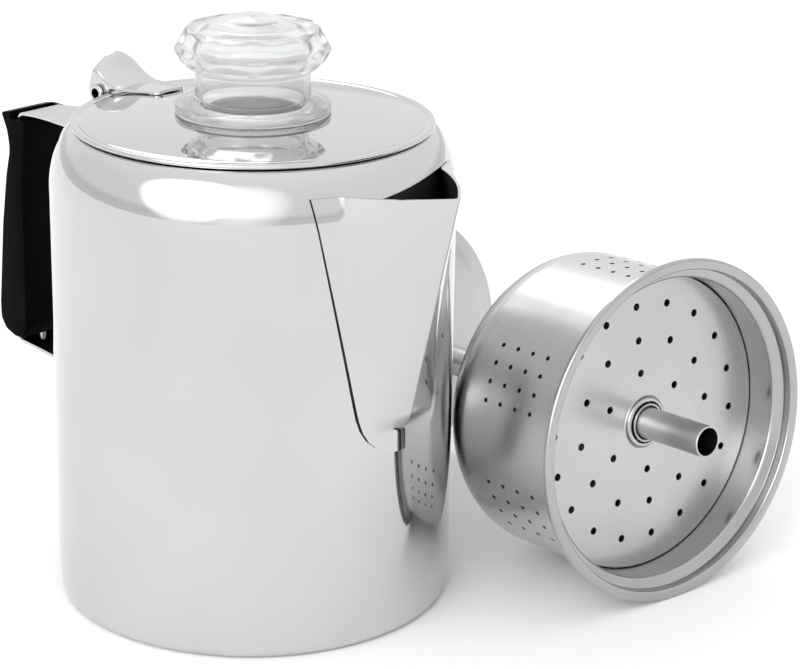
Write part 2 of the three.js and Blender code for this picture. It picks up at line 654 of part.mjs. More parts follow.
const pot = new THREE.Group();
pot.add(
  piece('pot_body', potBody(), steel(POLISHED, 0.12)),
  piece('spout', spout(), steel(POLISHED, 0.12)),
  piece('handle_strap', handleStrap(), steel(POLISHED, 0.2)),
  piece('handle_grip', handleGrip(), plastic(BLACK, 0.5)),
  piece('grip_screw', gripScrew(), steel(POLISHED, 0.3)),
  piece('hinge_knuckle', hingeKnuckle(), steel(POLISHED, 0.25)),
  piece('hinge_pin', hingePin(), steel(POLISHED, 0.2)),
  piece('lid', lid(), steel(POLISHED, 0.08)),
  piece('lid_arm', lidArm(), steel(POLISHED, 0.15)),
  piece('knob', knob(), plastic(CLEAR, 0.05)),
  piece('knob_seal', knobSeal(), plastic(SILICONE, 0.6)),
);

const infuser = new THREE.Group();
infuser.add(
  piece('pump_tube', pumpTube(), steel(GREY_STEEL, 0.4)),
  piece('pump_base', pumpBase(), steel(BRUSHED, 0.3)),
  piece('pump_ferrule', pumpFerrule(), steel(BRUSHED, 0.3)),
  piece('tube_stop', tubeStop(), steel(BRUSHED, 0.3)),
  piece('basket', basket(), steel(BRUSHED, 0.35)),
  piece('basket_sleeve', basketSleeve(), steel(POLISHED, 0.25)),
  piece('spreader_plate', spreaderPlate(), steel(BRUSHED, 0.3)),
);

// The group's x axis lies level, its y axis points up and its z axis runs along the pump tube.
const along = new THREE.Vector3(
  Math.cos(REST_TILT) * Math.cos(REST_AZIMUTH),
  Math.cos(REST_TILT) * Math.sin(REST_AZIMUTH),
  Math.sin(REST_TILT),
);
const level = new THREE.Vector3(-Math.sin(REST_AZIMUTH), Math.cos(REST_AZIMUTH), 0);
const upward = new THREE.Vector3().crossVectors(along, level);
infuser.quaternion.setFromRotationMatrix(new THREE.Matrix4().makeBasis(level, upward, along));
infuser.position.set(REST_X, REST_Y, FLANGE_R * Math.cos(REST_TILT) + FLOOR_GAP);

const percolator = new THREE.Group();
percolator.add(pot, infuser);

export default percolator;
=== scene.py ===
"""Looks of the stovetop coffee percolator: steel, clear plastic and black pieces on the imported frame.

Lengths are millimetres in the row frame until new_piece() turns them into metres. The pump, basket and
spreader are modelled upright about their own axis, with z = 0 at the basket's flange, and laid in place.
"""
import json
import math

import bmesh
import bpy
from mathutils import Matrix, Vector

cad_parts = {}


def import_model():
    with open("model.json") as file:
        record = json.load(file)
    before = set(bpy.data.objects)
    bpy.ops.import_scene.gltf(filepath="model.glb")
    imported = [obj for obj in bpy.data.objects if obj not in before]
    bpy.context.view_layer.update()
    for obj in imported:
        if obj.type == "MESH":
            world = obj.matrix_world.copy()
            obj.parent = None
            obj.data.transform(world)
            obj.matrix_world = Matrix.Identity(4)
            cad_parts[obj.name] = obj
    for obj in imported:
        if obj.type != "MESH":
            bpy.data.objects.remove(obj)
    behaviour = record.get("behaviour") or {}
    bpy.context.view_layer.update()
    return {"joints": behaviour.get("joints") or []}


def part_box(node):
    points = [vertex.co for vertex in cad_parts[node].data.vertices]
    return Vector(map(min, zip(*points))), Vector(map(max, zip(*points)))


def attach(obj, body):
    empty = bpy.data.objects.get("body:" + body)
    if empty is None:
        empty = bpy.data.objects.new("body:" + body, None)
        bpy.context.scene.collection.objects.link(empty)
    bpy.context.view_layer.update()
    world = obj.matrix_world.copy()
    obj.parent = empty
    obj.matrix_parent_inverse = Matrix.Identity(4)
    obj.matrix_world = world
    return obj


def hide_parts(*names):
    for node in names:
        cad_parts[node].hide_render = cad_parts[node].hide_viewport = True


MM = 0.001
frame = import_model()


# ---------- driving sizes ----------
SIDES = 192  # facets round a turned piece
SHARP = 35  # an edge that turns by more degrees than this stays crisp
GAP = 0.3  # clearance between neighbouring pieces
OUTWARD = Matrix.Rotation(math.pi / 2, 4, "Y")  # lays a bar's +Z along +X
ACROSS = Matrix.Rotation(math.pi / 2, 4, "X")  # lays a bar's +Z along -Y

SHEET = 0.8  # the pot's and lid's steel
POT_R = 75
FOOT_R = 74.4
FOOT_FILLET = 3.6
FOOT_TAPER = [(74.55, 7), (74.75, 11), (74.92, 15.5), (POT_R, 20)]
WALL_RING_Z = 90  # a row of corners half-way up the straight wall
BOTTOM_RING_R = 30  # and one round the middle of the bottom
SHOULDER_Z = 159.2
SHOULDER_POWER = 1.8
SHOULDER_ROWS = 36
RIM_R = 65
RIM_Z = 180.9
RIM_ROLL = 1.1
STRAINER_ROWS = 6
STRAINER_LOW = 98
STRAINER_ACROSS = 9
STRAINER_UP = 10
STRAINER_HOLE_R = 2.6

LID_R = 66.8
LID_TOP = 183.1  # top of the lid's edge
LID_CROWN = 185.5  # the lid's disc is domed up to this height
LID_CROWN_R = 27
LID_ROLL = 0.95
LID_GROOVE_R = 63.6
LID_SKIRT_R = 62.6
LID_SKIRT_Z = 176.1
LID_HOLE_R = 17.5
NOTCH_HALF = (4, 21.1)  # the slot across the lid's hole that the knob's ears pass through

SPOUT_TOP = 172
SPOUT_RIDGE_Z = 89  # lowest point of the straight front ridge
SPOUT_TAIL = 7  # height over which the ridge rises from the pot's wall
SPOUT_SHEET = 1
# (height, degrees from the spout's middle to its seam)
SPOUT_SEAM = [
    (73.6, 0.3), (73.7, 2.2), (74, 4.6), (75, 7.4), (77, 10), (80, 12.6), (84, 14.6), (89, 16),
    (94, 16.9), (SPOUT_TOP, 29.6),
]
# Each pair is for the foot of the ridge and for the spout's top.
SPOUT_RIDGE_R = (79.6, 99.2)
SPOUT_BEND = (0.84, 0.74)  # share of the seam's angle where the side leaves the wall
SPOUT_BEND_R = (5, 10)
SPOUT_NOSE_R = (1, 4.5)
SPOUT_HALF_COUNT = 48  # columns of corners from the ridge to the seam

STRAP = 1.5
STRAP_HALF = 9.6
STRAP_FLARE_HALF = 19.4
STRAP_FLARE_X = (-118, -72)
STRAP_COLUMNS = 8  # on each side of the middle
STRAP_TOP = (-66, 169.6)
STRAP_TURN = (-121.8, 164.4)
STRAP_LOW = (-127, 69.6)
STRAP_HEEL = (-76.6, 63.4)
STRAP_TOE = (-76.6, 48)
STRAP_SEAT = 1.6  # from the shoulder's outside to the strap's upper end
GRIP_HALF = 11.6
GRIP_SLOT_GAP = 0.4
SCREW_X = -122.4
SCREW_TOP = 67.6
SCREW_HEAD_R = 3.5
SCREW_SHANK_R = 1.6
SCREW_TIP = 83
SCREW_HOLE_R = 1.9

PIN_X, PIN_Z = -72.4, 181.6
PIN_R = 2.9
PIN_HEAD_R = 3.4
PIN_BORE_R = 2
PIN_HALF = 12.4
PIN_AXIS = Matrix.Translation((PIN_X, 0, PIN_Z)) @ ACROSS
KNUCKLE_R = 4.1
KNUCKLE_HALF = 8.6
LEAF = 1.2
LEAF_BEND_X = -76.2
LEAF_END_X = -90

ARM_SHEET = 1
ARM_BACK_X = -78.2
ARM_TIP_X = -43.1
ARM_ROWS = 72
TIP_ROUND = 1.6
EAR_FACE = 10.5
EAR_HEEL_R = 4.8
ARCH_X = (-77.5, -62)  # the arm's arched top flattens between these
ARCH_HEIGHT = 10.5
TONGUE_Z = 184.6
TONGUE_RISE = 1.4
TONGUE_RISE_X = (-64, -43)
TONGUE_NARROWING = 2.6
TONGUE_NARROWING_X = (-63, -45)

KNOB_BASE = 185.8  # underside of the clear flange
KNOB_RECESS = 186.7  # roof of the recess that holds the seal
KNOB_RECESS_R = 26.6
SPIGOT_FOOT = 181.9
KNOB_STEP = 1.6  # longest step between corners along the knob's outline
KNOB_FLUTES = 12
FLUTE_DEPTH = 0.055  # share of the radius
FLUTE_Z = (202, 206)  # the flutes come in between these heights
FLUTE_R = (22.8, 25.5)  # and between these radii
SPIGOT_R = 17
KNOB_BORE_R = 15.2
KNOB_EAR_X = (15.6, 20.6)
KNOB_EAR_Z = (182.2, 184)
KNOB_EAR_HALF = 3.5
DOME_TOP = 221.85
DOME_SPHERE_R = 31.5
SEAL_R = (17.4, 26.3)
SEAL_HEIGHT = 0.6

TUBE_R = 6.05
TUBE_BORE_R = 5.3
TUBE_ABOVE = 15.7
BASE_R = 55.8
BASE_BELOW = 171.6
BASE_DOME = 9
BASE_SHEET = 0.9
TUBE_FOOT = -BASE_BELOW + BASE_DOME - 3  # just under the base's dome
INLET_COUNT = 4
INLET_R = 2.2
INLET_CIRCLE_R = 26
FERRULE_R = 9.5
FERRULE_NECK_R = 7.8
STOP_R = 8.5
STOP_HEIGHT = 5

FLANGE_R = 66.4
FLANGE_LIP = 1.9
STEP_R = 62.5
STEP_DEPTH = 4.4
BASKET_R = 58.8
BASKET_DEPTH = 72.6
BASKET_FILLET = 17
BASKET_SHEET = 0.7
CLUSTER_ANGLES = [26, 86, 154.6, 208, 267, 327]
CLUSTER_GRID = 4
CLUSTER_STEP = 7.1
CLUSTER_PITCH = 8.2
CLUSTER_FIRST = -19.8
WALL_HOLE_R = 0.95
SLEEVE_R = 7.6
SLEEVE_BORE_R = 6.6
SLEEVE_TOP = -15.7
SLEEVE_FOOT_R = 10.2
SLEEVE_FLANGE_R = 11
SLEEVE_BEAD_R = 9.4
OUTLINE_STEP = 9  # longest step between corners along the basket's and spreader's outlines

SPREADER_Z = -18.2
SPREADER_R = 57.9
SPREADER_SHEET = 0.8
SPREADER_RINGS = [(6, 19.6), (12, 32.7), (18, 46.2)]  # (number of holes, radius)
SPREADER_PHASE = 35
SPREADER_HOLE_R = 1.5


# ---------- outlines ----------
def arc(cx, cy, radius, start, end, steps):
    """Points round a circle, from the start to the end angle in degrees."""
    angles = [math.radians(start + (end - start) * i / steps) for i in range(steps + 1)]
    return [(cx + radius * math.cos(a), cy + radius * math.sin(a)) for a in angles]


def filleted(points, steps, ring=False):
    """(x, y, radius) corners as a line whose corners are rounded. The radius may be left out."""
    corners = [(p[0], p[1], p[2] if len(p) > 2 else 0) for p in points]
    count = len(corners)
    line = []
    for i, (x, y, radius) in enumerate(corners):
        inner = ring or 0 < i < count - 1
        if radius == 0 or not inner:
            line.append((x, y))
            continue
        here = Vector((x, y))
        back = Vector(corners[i - 1][:2]) - here
        ahead = Vector(corners[(i + 1) % count][:2]) - here
        reach = radius / math.tan(back.angle(ahead) / 2)
        reach = min(reach, 0.48 * back.length, 0.48 * ahead.length)
        start = here + back.normalized() * reach
        end = here + ahead.normalized() * reach
        line += [tuple(curve(start, here, end, k / steps)) for k in range(steps + 1)]
    return line


def beside(line, distance):
    """The line moved sideways: a positive distance moves it to the left of its direction."""
    shifted = []
    for i, (x, y) in enumerate(line):
        before = Vector(line[max(i - 1, 0)])
        after = Vector(line[min(i + 1, len(line) - 1)])
        along = (after - before).normalized()
        shifted.append((x - along.y * distance, y + along.x * distance))
    return shifted


def sheet_ring(line, thickness):
    """The closed outline of a sheet whose middle runs along the line."""
    return beside(line, thickness / 2) + beside(line, -thickness / 2)[::-1]


def progress(value, low, high):
    """How far the value is from low to high, between 0 and 1."""
    return min(max((value - low) / (high - low), 0), 1)


def smoothstep(value, low, high):
    """The same with a soft start and a soft end."""
    t = progress(value, low, high)
    return t * t * (3 - 2 * t)


def blend(start, end, t):
    """The value a share t of the way from start to end."""
    return start + (end - start) * t


def curve(start, corner, end, t):
    """A point of the curve that leaves start towards the corner and comes to end from it."""
    return start * (1 - t) ** 2 + corner * 2 * t * (1 - t) + end * t**2


def value_at(line, x):
    """The value at x of a line of (x, value) points with rising x."""
    for (x0, v0), (x1, v1) in zip(line, line[1:]):
        if x <= x1:
            return blend(v0, v1, (x - x0) / (x1 - x0))
    return line[-1][1]


# ---------- meshes ----------
def new_piece(name, verts, faces, materials, body, replaces, matrix=None, sharp=SHARP):
    """A piece of the object from points in millimetres, riding on a body."""
    mesh = bpy.data.meshes.new(name)
    mesh.from_pydata([Vector(v) * MM for v in verts], [], faces)
    mesh.validate()
    tidy(mesh)
    piece = bpy.data.objects.new(name, mesh)
    bpy.context.scene.collection.objects.link(piece)
    for material in materials:
        mesh.materials.append(material)
    smooth(mesh, sharp)
    if matrix is not None:
        piece.matrix_world = matrix
    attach(piece, body)
    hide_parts(*replaces)
    return piece


def tidy(mesh):
    """Joins doubled corners and turns the faces outwards."""
    work = bmesh.new()
    work.from_mesh(mesh)
    bmesh.ops.remove_doubles(work, verts=work.verts, dist=1e-7)
    bmesh.ops.recalc_face_normals(work, faces=work.faces)
    work.to_mesh(mesh)
    work.free()


def smooth(mesh, sharp):
    """Shades the mesh smooth, except across edges that turn by more than sharp degrees."""
    mesh.shade_smooth()
    mesh.set_sharp_from_angle(angle=math.radians(sharp))


def turned(outline, sides=SIDES, ring=True, shape=None):
    """Corners and faces of an outline of (radius, z) turned about Z. shape can move each corner."""
    verts, faces = [], []
    for i in range(sides):
        a = 2 * math.pi * i / sides
        for r, z in outline:
            point = (r * math.cos(a), r * math.sin(a), z)
            verts.append(shape(*point) if shape else point)
    count = len(outline)
    for i in range(sides):
        here, there = i * count, ((i + 1) % sides) * count
        for j in range(count if ring else count - 1):
            k = (j + 1) % count
            faces.append((here + j, there + j, there + k, here + k))
    return verts, faces


def grid(rows):
    """Corners and faces of a sheet of points, given as rows of equal length."""
    verts = [p for row in rows for p in row]
    count = len(rows[0])
    faces = []
    for i in range(len(rows) - 1):
        here, there = i * count, (i + 1) * count
        for j in range(count - 1):
            faces.append((here + j, here + j + 1, there + j + 1, there + j))
    return verts, faces


def prism(outline, low, high, place):
    """Corners and faces of an outline of (u, v) drawn out from w = low to high.

    place turns (u, v, w) into a point.
    """
    count = len(outline)
    verts = [place(u, v, low) for u, v in outline] + [place(u, v, high) for u, v in outline]
    faces = [tuple(range(count)), tuple(range(2 * count - 1, count - 1, -1))]
    for i in range(count):
        k = (i + 1) % count
        faces.append((i, i + count, k + count, k))
    return verts, faces


def side_on(u, v, w):
    """The outline lies in XZ and is drawn out along Y."""
    return (u, w, v)


def top_on(u, v, w):
    """The outline lies in XY and is drawn out along Z."""
    return (u, v, w)


def apply_modifiers(piece, sharp=SHARP):
    depsgraph = bpy.context.evaluated_depsgraph_get()
    old = piece.data
    piece.data = bpy.data.meshes.new_from_object(piece.evaluated_get(depsgraph))
    piece.modifiers.clear()
    bpy.data.meshes.remove(old)
    tidy(piece.data)
    smooth(piece.data, sharp)


def combine(piece, parts, operation, sharp=SHARP):
    """Cuts from the piece, or joins to it, solids given as (corners, faces) in its own frame."""
    mesh = bpy.data.meshes.new("tool")
    verts, faces = [], []
    for part_verts, part_faces in parts:
        start = len(verts)
        verts += [Vector(v) * MM for v in part_verts]
        faces += [tuple(i + start for i in face) for face in part_faces]
    mesh.from_pydata(verts, [], faces)
    tidy(mesh)
    tool = bpy.data.objects.new("tool", mesh)
    bpy.context.scene.collection.objects.link(tool)
    tool.matrix_world = piece.matrix_world
    bpy.context.view_layer.update()
    change = piece.modifiers.new("combine", "BOOLEAN")
    change.operation = operation
    change.solver = "EXACT"
    change.object = tool
    apply_modifiers(piece, sharp)
    bpy.data.objects.remove(tool)


def thicken(piece, thickness):
    """Gives an open sheet its thickness, half on each side."""
    shell = piece.modifiers.new("sheet", "SOLIDIFY")
    shell.thickness = thickness * MM
    shell.offset = 0
    shell.use_even_offset = True
    apply_modifiers(piece)


def round_edges(piece, width, angle, segments=3):
    """Rounds the edges that turn by more than an angle in degrees."""
    bevel = piece.modifiers.new("edges", "BEVEL")
    bevel.width = width * MM
    bevel.segments = segments
    bevel.limit_method = "ANGLE"
    bevel.angle_limit = math.radians(angle)
    bevel.harden_normals = False
    apply_modifiers(piece)


def drill(place, radius, reach, sides):
    """A round bar along the place's Z as (corners, faces), reaching as far up as down."""
    circle = arc(0, 0, radius, 0, 360, sides)[:-1]
    verts, faces = prism(circle, -reach, reach, top_on)
    return [tuple(place @ Vector(v)) for v in verts], faces


# ---------- materials ----------
def shader(name, colour, metallic, roughness):
    material = bpy.data.materials.new(name)
    material.use_nodes = True
    nodes, links = material.node_tree.nodes, material.node_tree.links
    principled = nodes["Principled BSDF"]
    principled.inputs["Base Color"].default_value = (*colour, 1)
    principled.inputs["Metallic"].default_value = metallic
    principled.inputs["Roughness"].default_value = roughness
    return material, nodes, links, principled


def noise(nodes, links, scale, detail, stretch=(1, 1, 1), roughness=0.5):
    """Noise in the piece's own coordinates, its scale in features per metre along each axis."""
    place = nodes.new("ShaderNodeTexCoord")
    mapping = nodes.new("ShaderNodeMapping")
    mapping.inputs["Scale"].default_value = stretch
    texture = nodes.new("ShaderNodeTexNoise")
    texture.inputs["Scale"].default_value = scale
    texture.inputs["Detail"].default_value = detail
    texture.inputs["Roughness"].default_value = roughness
    links.new(place.outputs["Object"], mapping.inputs["Vector"])
    links.new(mapping.outputs["Vector"], texture.inputs["Vector"])
    return texture.outputs["Fac"]


def ranged(nodes, links, source, low, high, dark=0.3, light=0.7):
    """The source's dark to light range mapped to low to high."""
    spread = nodes.new("ShaderNodeMapRange")
    spread.inputs["From Min"].default_value = dark
    spread.inputs["From Max"].default_value = light
    spread.inputs["To Min"].default_value = low
    spread.inputs["To Max"].default_value = high
    links.new(source, spread.inputs["Value"])
    return spread.outputs["Result"]


def tinted(nodes, links, source, dark, light):
    """The source's middle range mapped to a dark and a light colour."""
    ramp = nodes.new("ShaderNodeValToRGB")
    ramp.color_ramp.elements[0].position = 0.3
    ramp.color_ramp.elements[1].position = 0.7
    ramp.color_ramp.elements[0].color = (*dark, 1)
    ramp.color_ramp.elements[1].color = (*light, 1)
    links.new(source, ramp.inputs["Fac"])
    return ramp.outputs["Color"]


def bumped(nodes, links, source, principled, height, below=None):
    """Raises the surface by up to a height in metres where the source is light, over any bumps below."""
    bump = nodes.new("ShaderNodeBump")
    bump.inputs["Strength"].default_value = 1
    bump.inputs["Distance"].default_value = height
    links.new(source, bump.inputs["Height"])
    if below is not None:
        links.new(below, bump.inputs["Normal"])
    links.new(bump.outputs["Normal"], principled.inputs["Normal"])
    return bump.outputs["Normal"]


def polished_steel(name, shade, rough):
    """Mirror-polished sheet: slow waves from drawing and a trace of buffing lines."""
    material, nodes, links, principled = shader(name, (shade,) * 3, 1, rough)
    smear = noise(nodes, links, 40, 4)
    links.new(ranged(nodes, links, smear, rough * 0.6, rough * 1.7), principled.inputs["Roughness"])
    tone = noise(nodes, links, 12, 2)
    dark, light = (shade - 0.03,) * 3, (shade + 0.02, shade + 0.02, shade + 0.015)
    links.new(tinted(nodes, links, tone, dark, light), principled.inputs["Base Color"])
    waves = bumped(nodes, links, noise(nodes, links, 22, 1), principled, 0.00006)
    lines = noise(nodes, links, 60, 3, stretch=(0.6, 0.6, 40))
    bumped(nodes, links, lines, principled, 0.0000012, below=waves)
    return material


def brushed_steel(name, shade, rough, stretch, height):
    """Brushed sheet. The brushing runs across the axis or axes with the large stretch."""
    material, nodes, links, principled = shader(name, (shade,) * 3, 1, rough)
    principled.inputs["Anisotropic"].default_value = 0.6
    tangent = nodes.new("ShaderNodeTangent")
    tangent.direction_type = "RADIAL"
    tangent.axis = "Z"
    links.new(tangent.outputs["Tangent"], principled.inputs["Tangent"])
    lines = noise(nodes, links, 50, 6, stretch=stretch, roughness=0.65)
    links.new(ranged(nodes, links, lines, rough * 0.88, rough * 1.15), principled.inputs["Roughness"])
    dark, light = (shade * 0.94,) * 3, (min(shade * 1.05, 0.95),) * 3
    links.new(tinted(nodes, links, lines, dark, light), principled.inputs["Base Color"])
    bumped(nodes, links, lines, principled, height)
    return material


def turned_finish(name, shade, rough):
    """Satin plate finished on a lathe: fine rings about the axis."""
    material, nodes, links, principled = shader(name, (shade,) * 3, 1, rough)
    place = nodes.new("ShaderNodeTexCoord")
    split = nodes.new("ShaderNodeSeparateXYZ")
    flat = nodes.new("ShaderNodeCombineXYZ")
    length = nodes.new("ShaderNodeVectorMath")
    length.operation = "LENGTH"
    rings = nodes.new("ShaderNodeTexNoise")
    rings.noise_dimensions = "1D"
    rings.inputs["Scale"].default_value = 5000
    rings.inputs["Detail"].default_value = 3
    links.new(place.outputs["Object"], split.inputs["Vector"])
    links.new(split.outputs["X"], flat.inputs["X"])
    links.new(split.outputs["Y"], flat.inputs["Y"])
    links.new(flat.outputs["Vector"], length.inputs[0])
    links.new(length.outputs["Value"], rings.inputs["W"])
    lines = rings.outputs["Fac"]
    links.new(ranged(nodes, links, lines, rough * 0.8, rough * 1.3), principled.inputs["Roughness"])
    cloud = noise(nodes, links, 18, 4)
    dark, light = (shade * 0.93,) * 3, (min(shade * 1.05, 0.95),) * 3
    links.new(tinted(nodes, links, cloud, dark, light), principled.inputs["Base Color"])
    bumped(nodes, links, lines, principled, 0.0000012)
    return material


def dull_steel(name, shade, rough):
    """Grey drawn steel: cloudy, with fine lines along its Z."""
    material, nodes, links, principled = shader(name, (shade,) * 3, 1, rough)
    cloud = noise(nodes, links, 60, 5)
    links.new(ranged(nodes, links, cloud, rough * 0.8, rough * 1.25), principled.inputs["Roughness"])
    dark, light = (shade * 0.8,) * 3, (shade * 1.15,) * 3
    links.new(tinted(nodes, links, cloud, dark, light), principled.inputs["Base Color"])
    drawn = noise(nodes, links, 90, 4, stretch=(12, 12, 0.6))
    bumped(nodes, links, drawn, principled, 0.000008)
    return material


def phenolic():
    """Black moulded grip: satin, with a very fine moulded grain."""
    material, nodes, links, principled = shader("black_phenolic", (0.004,) * 3, 0, 0.42)
    principled.inputs["Specular IOR Level"].default_value = 0.03
    smear = noise(nodes, links, 70, 4)
    links.new(ranged(nodes, links, smear, 0.32, 0.46), principled.inputs["Roughness"])
    links.new(tinted(nodes, links, smear, (0.0008,) * 3, (0.002,) * 3), principled.inputs["Base Color"])
    bumped(nodes, links, noise(nodes, links, 2600, 2), principled, 0.00001)
    return material


def clear_plastic():
    material, nodes, links, principled = shader("clear_plastic", (0.9, 0.91, 0.91), 0, 0.04)
    principled.inputs["Transmission Weight"].default_value = 0.86
    principled.inputs["IOR"].default_value = 1.24
    smear = noise(nodes, links, 60, 3)
    links.new(ranged(nodes, links, smear, 0.07, 0.15), principled.inputs["Roughness"])
    bumped(nodes, links, noise(nodes, links, 90, 1), principled, 0.00004)
    return material


def silicone():
    material, nodes, links, principled = shader("silicone", (0.62, 0.62, 0.6), 0, 0.5)
    principled.inputs["Transmission Weight"].default_value = 0.3
    cloud = noise(nodes, links, 200, 3)
    links.new(ranged(nodes, links, cloud, 0.42, 0.6), principled.inputs["Roughness"])
    bumped(nodes, links, cloud, principled, 0.00002)
    return material


POLISHED = polished_steel("polished_steel", 0.61, 0.04)
HANDLE_STEEL = polished_steel("strap_steel", 0.62, 0.09)
WALL_STEEL = brushed_steel("basket_wall", 0.64, 0.24, (0.35, 0.35, 90), 0.0000025)
PLATE_STEEL = turned_finish("turned_plate", 0.53, 0.26)
SATIN_STEEL = turned_finish("satin_steel", 0.44, 0.22)
TUBE_STEEL = dull_steel("grey_tube", 0.6, 0.34)
# Painted shade: near-black steel for the inside faces of the spout and of the pump's tube, which are dark
# only from shade
PAINTED_SHADE_INSIDE = dull_steel("inside_painted_shade", 0.03, 0.5)
PHENOLIC = phenolic()
CLEAR = clear_plastic()
SILICONE = silicone()


# ---------- pot ----------
def shoulder_r(z):
    """Outside radius of the pot's wall and shoulder at a height."""
    t = progress(z, SHOULDER_Z, RIM_Z)
    return blend(RIM_R, POT_R, (1 - t**SHOULDER_POWER) ** (1 / SHOULDER_POWER))


def pot_body():
    skin = arc(FOOT_R - FOOT_FILLET, FOOT_FILLET, FOOT_FILLET, -90, -2, 10)
    skin += FOOT_TAPER + [(POT_R, WALL_RING_Z)]
    turns = [math.pi / 2 * i / SHOULDER_ROWS for i in range(SHOULDER_ROWS + 1)]
    heights = [blend(SHOULDER_Z, RIM_Z, math.sin(turn)) for turn in turns]
    skin += [(shoulder_r(z), z) for z in heights]
    roll = arc(RIM_R, RIM_Z - RIM_ROLL, RIM_ROLL, 100, 270, 12)
    lining = beside(skin, SHEET)[::-1]
    lining = [(r, z) for r, z in lining if z < SHOULDER_Z or r > RIM_R + RIM_ROLL]
    under, over = [(0, 0), (BOTTOM_RING_R, 0)], [(BOTTOM_RING_R, SHEET), (0, SHEET)]
    verts, faces = turned(under + skin + roll + lining + over, ring=False)
    body = new_piece("pot_shell", verts, faces, [POLISHED], "pot", ["pot_body"])
    combine(body, strainer(), "DIFFERENCE")


def strainer():
    """Pouring holes behind the spout, in rows that widen with it."""
    holes = []
    for row in range(STRAINER_ROWS):
        count = 2 + row // 2
        for i in range(count):
            y = (i - (count - 1) / 2) * STRAINER_ACROSS
            place = Matrix.Translation((POT_R, y, STRAINER_LOW + row * STRAINER_UP)) @ OUTWARD
            holes.append(drill(place, STRAINER_HOLE_R, 12, 20))
    return holes


# ---------- spout ----------
def seam_angle(z):
    """Half the angle between the spout's seams, about the pot's axis, at a height."""
    return math.radians(value_at(SPOUT_SEAM, z))


def spout_section(z):
    """Half of the spout's outside at a height, from its ridge to its seam.

    Each point is (share of the seam's angle, distance beyond the pot's wall).
    """
    wall = shoulder_r(z) + GAP + SPOUT_SHEET
    seam = seam_angle(z)
    high = smoothstep(z, SPOUT_RIDGE_Z + 1, SPOUT_TOP)
    corner = seam * blend(*SPOUT_BEND, high)
    foot = Vector((wall * math.cos(corner), wall * math.sin(corner)))
    ridge = blend(*SPOUT_RIDGE_R, (z - SPOUT_RIDGE_Z) / (SPOUT_TOP - SPOUT_RIDGE_Z))
    half = math.atan2(foot.y, ridge - foot.x)
    nose = blend(*SPOUT_NOSE_R, high)
    apex = Vector((ridge + nose * (1 / math.sin(half) - 1), 0))
    touch = apex.lerp(foot, nose / math.tan(half) / (apex - foot).length)
    far = Vector((touch.x, -touch.y))
    seam_point = (wall * math.cos(seam), wall * math.sin(seam))
    side = filleted([seam_point, (*foot, blend(*SPOUT_BEND_R, high)), tuple(touch)], 10)
    front = [tuple(curve(touch, apex, far, k / 16)) for k in range(9)]
    polar = [(math.atan2(y, x) / seam, math.hypot(x, y) - wall) for x, y in side[:-1] + front]
    return [(share, max(out, 0)) for share, out in polar][::-1]


def spout_row(z, low_section):
    """The spout's sheet at a height, from seam to seam: its outside and its inside."""
    seam = seam_angle(z)
    wall = shoulder_r(z) + GAP + SPOUT_SHEET
    section = spout_section(z) if z > SPOUT_RIDGE_Z else low_section
    rise = smoothstep(z, SPOUT_RIDGE_Z - SPOUT_TAIL, SPOUT_RIDGE_Z)
    outer = []
    for i in range(SPOUT_HALF_COUNT + 1):
        share = (i / SPOUT_HALF_COUNT) ** 1.25
        r = wall + value_at(section, share) * rise
        outer.append((r * math.cos(share * seam), r * math.sin(share * seam)))
    outer = [(x, -y) for x, y in outer[:0:-1]] + outer
    inner = []
    for x, y in beside(outer, SPOUT_SHEET):
        push = max(1, (wall - SPOUT_SHEET) / math.hypot(x, y))
        inner.append((x * push, y * push))
    return [(x, y, z) for x, y in outer], [(x, y, z) for x, y in inner]


def spout_heights():
    """Heights of the spout's rows, close together at its pointed tail and where the ridge begins."""
    heights = [73.62, 73.66, 73.7, 73.8, 74, 74.3, 74.7, 75.2, 76, 77, 78, 79, 80, 81, 82]
    heights += [82 + 0.5 * i for i in range(1, 15)] + [90, 91, 92.5, 94]
    return heights + [94 + (SPOUT_TOP - 94) * i / 30 for i in range(1, 31)]


def spout():
    low_section = spout_section(SPOUT_RIDGE_Z)
    rows = [spout_row(z, low_section) for z in spout_heights()]
    count = len(rows[0][0])
    verts = [p for outer, inner in rows for p in outer + inner]
    faces, inside = [], []
    for i in range(len(rows) - 1):
        here, there = i * 2 * count, (i + 1) * 2 * count
        for j in range(count - 1):
            for start in (0, count):
                k = start + j
                faces.append((here + k, here + k + 1, there + k + 1, there + k))
                inside.append(start > 0)
        for j in (0, count - 1):
            faces.append((here + j, there + j, there + count + j, here + count + j))
            inside.append(True)
    for here in (0, (len(rows) - 1) * 2 * count):
        for j in range(count - 1):
            faces.append((here + j, here + j + 1, here + count + j + 1, here + count + j))
            inside.append(here == 0)
    # The inside faces take the near-black painted shade material
    materials = [POLISHED, PAINTED_SHADE_INSIDE]
    piece = new_piece("spout_sheet", verts, faces, materials, "pot", ["spout"], sharp=50)
    for face, dark in zip(piece.data.polygons, inside):
        face.material_index = int(dark)


# ---------- handle ----------
def strap_height(x):
    """Height of the middle of the strap's sheet along its upper run."""
    slope = (STRAP_TOP[1] - STRAP_TURN[1]) / (STRAP_TOP[0] - STRAP_TURN[0])
    return STRAP_TURN[1] + slope * (x - STRAP_TURN[0])


